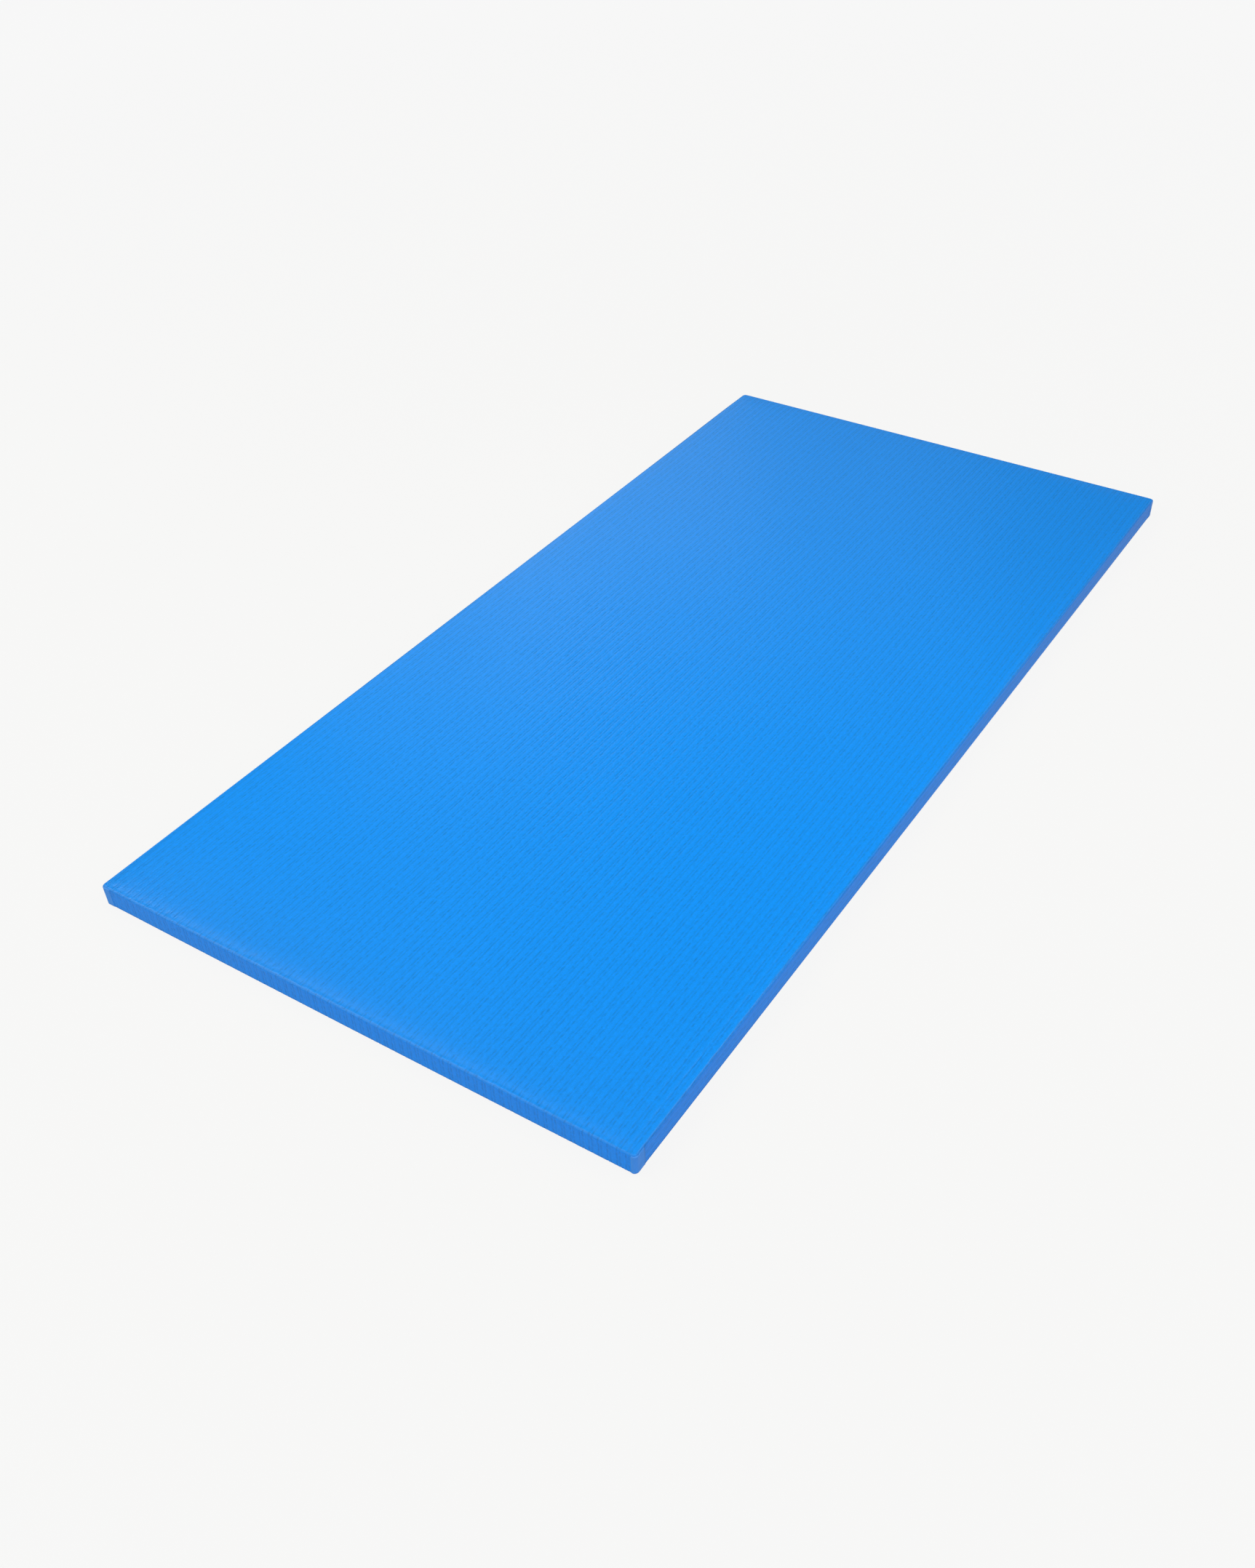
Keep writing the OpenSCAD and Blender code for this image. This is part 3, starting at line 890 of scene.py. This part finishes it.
def mat_rubber():
    m = Nodes("grip_rubber")
    co = m.new("ShaderNodeTexCoord").outputs["Object"]
    cloud = m.noise(m.scaled(co, (9, 9, 9)), 1.0, 4.0, 0.6)
    grain = m.noise(m.scaled(co, (1800, 1800, 1800)), 1.0, 2.0, 0.6)
    base = m.ramp(cloud, [(0.25, (0.022, 0.023, 0.026)), (0.75, (0.045, 0.046, 0.050))])
    base = m.mix(m.map_range(grain, 0.45, 0.8, 0.0, 0.35), base, (0.075, 0.076, 0.080, 1))
    m.link(base, m.bsdf.inputs["Base Color"])
    m.link(m.map_range(grain, 0.3, 0.7, 0.72, 0.9), m.bsdf.inputs["Roughness"])
    m.bsdf.inputs["Specular IOR Level"].default_value = 0.35
    bump = m.new("ShaderNodeBump")
    bump.inputs["Strength"].default_value = 0.5
    bump.inputs["Distance"].default_value = 0.12 * MM
    m.link(grain, bump.inputs["Height"])
    m.link(bump.outputs[0], m.bsdf.inputs["Normal"])
    return m.mat


def mat_foam():
    m = Nodes("rebonded_foam")
    co = m.new("ShaderNodeTexCoord").outputs["Object"]
    v = m.new("ShaderNodeTexVoronoi", feature="F1")
    m.link(co, v.inputs["Vector"])
    v.inputs["Scale"].default_value = 95
    v.inputs["Randomness"].default_value = 1.0
    sep = m.new("ShaderNodeSeparateColor")
    m.link(v.outputs["Color"], sep.inputs[0])
    chip = m.ramp(sep.outputs[0], [
        (0.0, (0.10, 0.20, 0.13)), (0.22, (0.42, 0.40, 0.34)), (0.40, (0.07, 0.10, 0.22)),
        (0.55, (0.30, 0.09, 0.08)), (0.68, (0.50, 0.44, 0.20)), (0.84, (0.05, 0.05, 0.06)), (1.0, (0.30, 0.32, 0.33)),
    ], "CONSTANT")
    edge = m.new("ShaderNodeTexVoronoi", feature="DISTANCE_TO_EDGE")
    m.link(co, edge.inputs["Vector"])
    edge.inputs["Scale"].default_value = 95
    seam = m.map_range(edge.outputs["Distance"], 0.0, 0.08, 0.55, 1.0)
    cells = m.noise(m.scaled(co, (900, 900, 900)), 1.0, 2.0, 0.6)
    base = m.mix(1.0, chip, m.math("MULTIPLY", seam, m.map_range(cells, 0.3, 0.7, 0.75, 1.1)), "MULTIPLY")
    m.link(base, m.bsdf.inputs["Base Color"])
    m.bsdf.inputs["Roughness"].default_value = 0.95
    m.bsdf.inputs["Specular IOR Level"].default_value = 0.15
    bump = m.new("ShaderNodeBump")
    bump.inputs["Strength"].default_value = 0.8
    bump.inputs["Distance"].default_value = 0.5 * MM
    m.link(m.math("ADD", cells, seam), bump.inputs["Height"])
    m.link(bump.outputs[0], m.bsdf.inputs["Normal"])
    return m.mat


# ---------------------------------------------------------------- pieces

cover = build_cover()
cover.data.materials.append(mat_cover())
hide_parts("top_cover")
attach(cover, "root")

strip_mat = mat_strip()
STRIPS = {
    "corner_strip_front_right": (1, -1, 8.0, 22.8, 11, 0.3),
    "corner_strip_front_left": (-1, -1, 19.0, 19.0, 12, -0.8),
    "corner_strip_rear_right": (1, 1, 17.0, 19.0, 13, 0.6),
    "corner_strip_rear_left": (-1, 1, 18.0, 18.0, 14, 0.5),
}
for node, (sx, sy, re_, rs_, seed, sl) in STRIPS.items():
    s, cut = build_strip(node.replace("corner_strip", "vinyl_strip"), sx, sy, re_ * MM, rs_ * MM, seed, sl * MM, 0.7 if seed == 11 else 1.8)
    s.data.materials.append(strip_mat)
    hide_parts(node)
    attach(s, "root")

grip = build_grip()
grip.data.materials.append(mat_rubber())
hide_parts("grip_sheet")
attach(grip, "root")

core = build_foam()
core.data.materials.append(mat_foam())
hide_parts("foam_core")
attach(core, "root")

# ---------------------------------------------------------------- stage and light
BG = 0.936  # the pale ground's own brightness


FLOOR_LIGHT = 0.308  # what the ground gives back to the mat


def camera_only(nt, seen, cast):
    """seen to the camera, cast to everything else."""
    lp = nt.nodes.new("ShaderNodeLightPath")
    mr = nt.nodes.new("ShaderNodeMapRange")
    nt.links.new(lp.outputs["Is Camera Ray"], mr.inputs[0])
    for i, x in ((3, cast), (4, seen)):
        if isinstance(x, bpy.types.NodeSocket):
            nt.links.new(x, mr.inputs[i])
        else:
            mr.inputs[i].default_value = x
    return mr.outputs[0]


def make_floor():
    m = bpy.data.materials.new("pale_floor")
    m.use_nodes = True
    nt = m.node_tree
    nt.nodes.clear()
    out = nt.nodes.new("ShaderNodeOutputMaterial")
    add = nt.nodes.new("ShaderNodeAddShader")
    em = nt.nodes.new("ShaderNodeEmission")
    em.inputs["Color"].default_value = (1, 1, 1, 1)
    co = nt.nodes.new("ShaderNodeTexCoord")
    dist = nt.nodes.new("ShaderNodeVectorMath")
    dist.operation = "LENGTH"
    nt.links.new(co.outputs["Object"], dist.inputs[0])
    even = nt.nodes.new("ShaderNodeMapRange")
    nt.links.new(dist.outputs["Value"], even.inputs[0])
    for i, x in ((1, 1.3), (2, 5.2), (3, FLOOR_SEEN), (4, FLOOR_SEEN + 0.033)):
        even.inputs[i].default_value = x
    nt.links.new(camera_only(nt, even.outputs[0], FLOOR_LIGHT), em.inputs["Strength"])
    df = nt.nodes.new("ShaderNodeBsdfDiffuse")
    df.inputs["Color"].default_value = (0.03, 0.03, 0.03, 1)
    nt.links.new(em.outputs[0], add.inputs[0])
    nt.links.new(df.outputs[0], add.inputs[1])
    nt.links.new(add.outputs[0], out.inputs["Surface"])
    n = 96
    ang = np.linspace(0, 2 * math.pi, n, endpoint=False)
    radii = (2.0, 4.0, 8.0, 14.0, 20.0)
    verts = [(0.0, 0.0, -0.0002)]
    for r in radii:
        for a in ang:
            verts.append((r * math.cos(a), r * math.sin(a), -0.0002))
    tris = np.array([[0, 1 + i, 1 + (i + 1) % n] for i in range(n)])
    quads = []
    for k in range(len(radii) - 1):
        for i in range(n):
            a, b = 1 + k * n + i, 1 + k * n + (i + 1) % n
            quads.append((a, a + n, b + n, b))
    ob = new_mesh("floor", np.array(verts), [tris, np.array(quads)], smooth=False)
    ob.data.materials.append(m)
    return ob


FLOOR_SEEN = 0.891
make_floor()


def make_world():
    """Pale walls, brighter in front of the mat, under a dark ceiling."""
    world = bpy.data.worlds.new("studio")
    bpy.context.scene.world = world
    world.use_nodes = True
    nt = world.node_tree
    nt.nodes.clear()
    out = nt.nodes.new("ShaderNodeOutputWorld")
    bg = nt.nodes.new("ShaderNodeBackground")
    co = nt.nodes.new("ShaderNodeTexCoord")
    sep = nt.nodes.new("ShaderNodeSeparateXYZ")
    nt.links.new(co.outputs["Generated"], sep.inputs[0])

    def ramp(stops):
        n = nt.nodes.new("ShaderNodeValToRGB")
        e = n.color_ramp.elements
        while len(e) > 1:
            e.remove(e[-1])
        e[0].position, e[0].color = math.sin(math.radians(stops[0][0])), (stops[0][1],) * 3 + (1,)
        for el, v in stops[1:]:
            x = e.new(math.sin(math.radians(el)))
            x.color = (v, v, v, 1)
        nt.links.new(sep.outputs[2], n.inputs[0])
        return n.outputs[0]

    front = ramp(WORLD_FRONT)
    back = ramp(WORLD_BACK)
    right = ramp(WORLD_RIGHT)

    def aim(az0, az1, deg):
        """1 in the direction az deg, 0 away from it."""
        dot = nt.nodes.new("ShaderNodeVectorMath")
        dot.operation = "DOT_PRODUCT"
        flat = nt.nodes.new("ShaderNodeVectorMath")
        flat.operation = "MULTIPLY"
        nt.links.new(co.outputs["Generated"], flat.inputs[0])
        flat.inputs[1].default_value = (1, 1, 0)
        nrm = nt.nodes.new("ShaderNodeVectorMath")
        nrm.operation = "NORMALIZE"
        nt.links.new(flat.outputs[0], nrm.inputs[0])
        nt.links.new(nrm.outputs[0], dot.inputs[0])
        dot.inputs[1].default_value = (math.cos(math.radians(deg)), math.sin(math.radians(deg)), 0)
        mr = nt.nodes.new("ShaderNodeMapRange")
        mr.interpolation_type = "SMOOTHSTEP"
        nt.links.new(dot.outputs["Value"], mr.inputs[0])
        mr.inputs[1].default_value, mr.inputs[2].default_value = az0, az1
        return mr.outputs[0]

    def mix(fac, a, b):
        n = nt.nodes.new("ShaderNodeMix")
        n.data_type = "RGBA"
        nt.links.new(fac, n.inputs[0])
        nt.links.new(a, n.inputs[6])
        nt.links.new(b, n.inputs[7])
        return n.outputs[2]

    col = mix(aim(-0.25, 0.35, 270.0), back, front)
    col = mix(aim(0.45, 0.95, 10.0), col, right)
    lp = nt.nodes.new("ShaderNodeLightPath")
    n = nt.nodes.new("ShaderNodeMix")
    n.data_type = "RGBA"
    nt.links.new(lp.outputs["Is Camera Ray"], n.inputs[0])
    nt.links.new(col, n.inputs[6])
    n.inputs[7].default_value = (BG, BG, BG, 1)
    nt.links.new(n.outputs[2], bg.inputs["Color"])
    bg.inputs["Strength"].default_value = 1.0
    nt.links.new(bg.outputs[0], out.inputs["Surface"])


WORLD_FRONT = ((0, 0.743), (18, 0.860), (32, 0.132), (45, 0.129), (62, 0.125), (75, 0.122))
WORLD_RIGHT = ((0, 0.531), (18, 0.573), (32, 0.123), (45, 0.122), (62, 0.122), (75, 0.121))
WORLD_BACK = ((0, 0.262), (20, 0.292), (30, 0.0), (45, 0.0), (62, 0.0), (75, 0.0))
make_world()

KEY_TINT = (1.0, 1.0, 0.764)


def area(name, loc, power, size=1.2, tint=KEY_TINT):
    d = bpy.data.lights.new(name, "AREA")
    d.shape = "SQUARE"
    d.size = size
    d.energy = power
    d.color = tint
    o = bpy.data.objects.new(name, d)
    bpy.context.scene.collection.objects.link(o)
    o.location = loc
    o.rotation_mode = "QUATERNION"
    o.rotation_quaternion = (-Vector(loc)).to_track_quat("-Z", "Y")
    o.visible_camera = False
    return o


SOFTBOXES = (
    ((1.2, -0.6, 1.7), 4.1, 1),
    ((-1.2, -0.6, 2.6), 14.5, 1),
    ((0.0, -0.6, 2.6), 5.6, 1),
    ((-2.4, 1.8, 1.7), 3.0, 1),
    ((-2.4, 3.0, 1.7), 3.7, 1),
    ((-2.4, -0.6, 2.6), 17.6, 1),
    ((1.2, 0.6, 2.6), 27.9, 1),
    ((3.5, -1.5, 1.2), 25.8, 0),
    ((3.5, 0.5, 1.2), 15.2, 0),
    ((1.2, 3.0, 2.6), 23.9, 1),
    ((-1.2, 3.0, 1.7), 1.5, 1),
    ((-2.4, -3.0, 2.6), 44.4, 1),
    ((2.0, -4.0, 1.2), 27.8, 0),
    ((2.0, -4.0, 1.2), 26.7, 1),
    ((-2.4, -1.8, 2.6), 13.2, 1),
    ((-1.2, -3.0, 2.6), 19.5, 1),
    ((0.0, -3.0, 2.6), 2.0, 1),
    ((1.6, -4.2, 2.2), 5.3, 0),
    ((1.6, -4.2, 2.2), 6.2, 1),
)
for k, (loc, power, warm) in enumerate(SOFTBOXES):
    # the lamps in front and low at the side are larger, so that their reflections stay soft from behind
    big = loc[1] <= -3.0 or loc[2] < 1.5
    area("softbox_%d" % (k + 1), loc, power * (1.16 if big else 1.0), size=2.3 if big else 1.2, tint=KEY_TINT if warm else (1, 1, 1))

scene = bpy.context.scene
scene.view_settings.view_transform = "Standard"
scene.view_settings.look = "None"
scene.view_settings.exposure = 0.0
scene.view_settings.gamma = 1.0
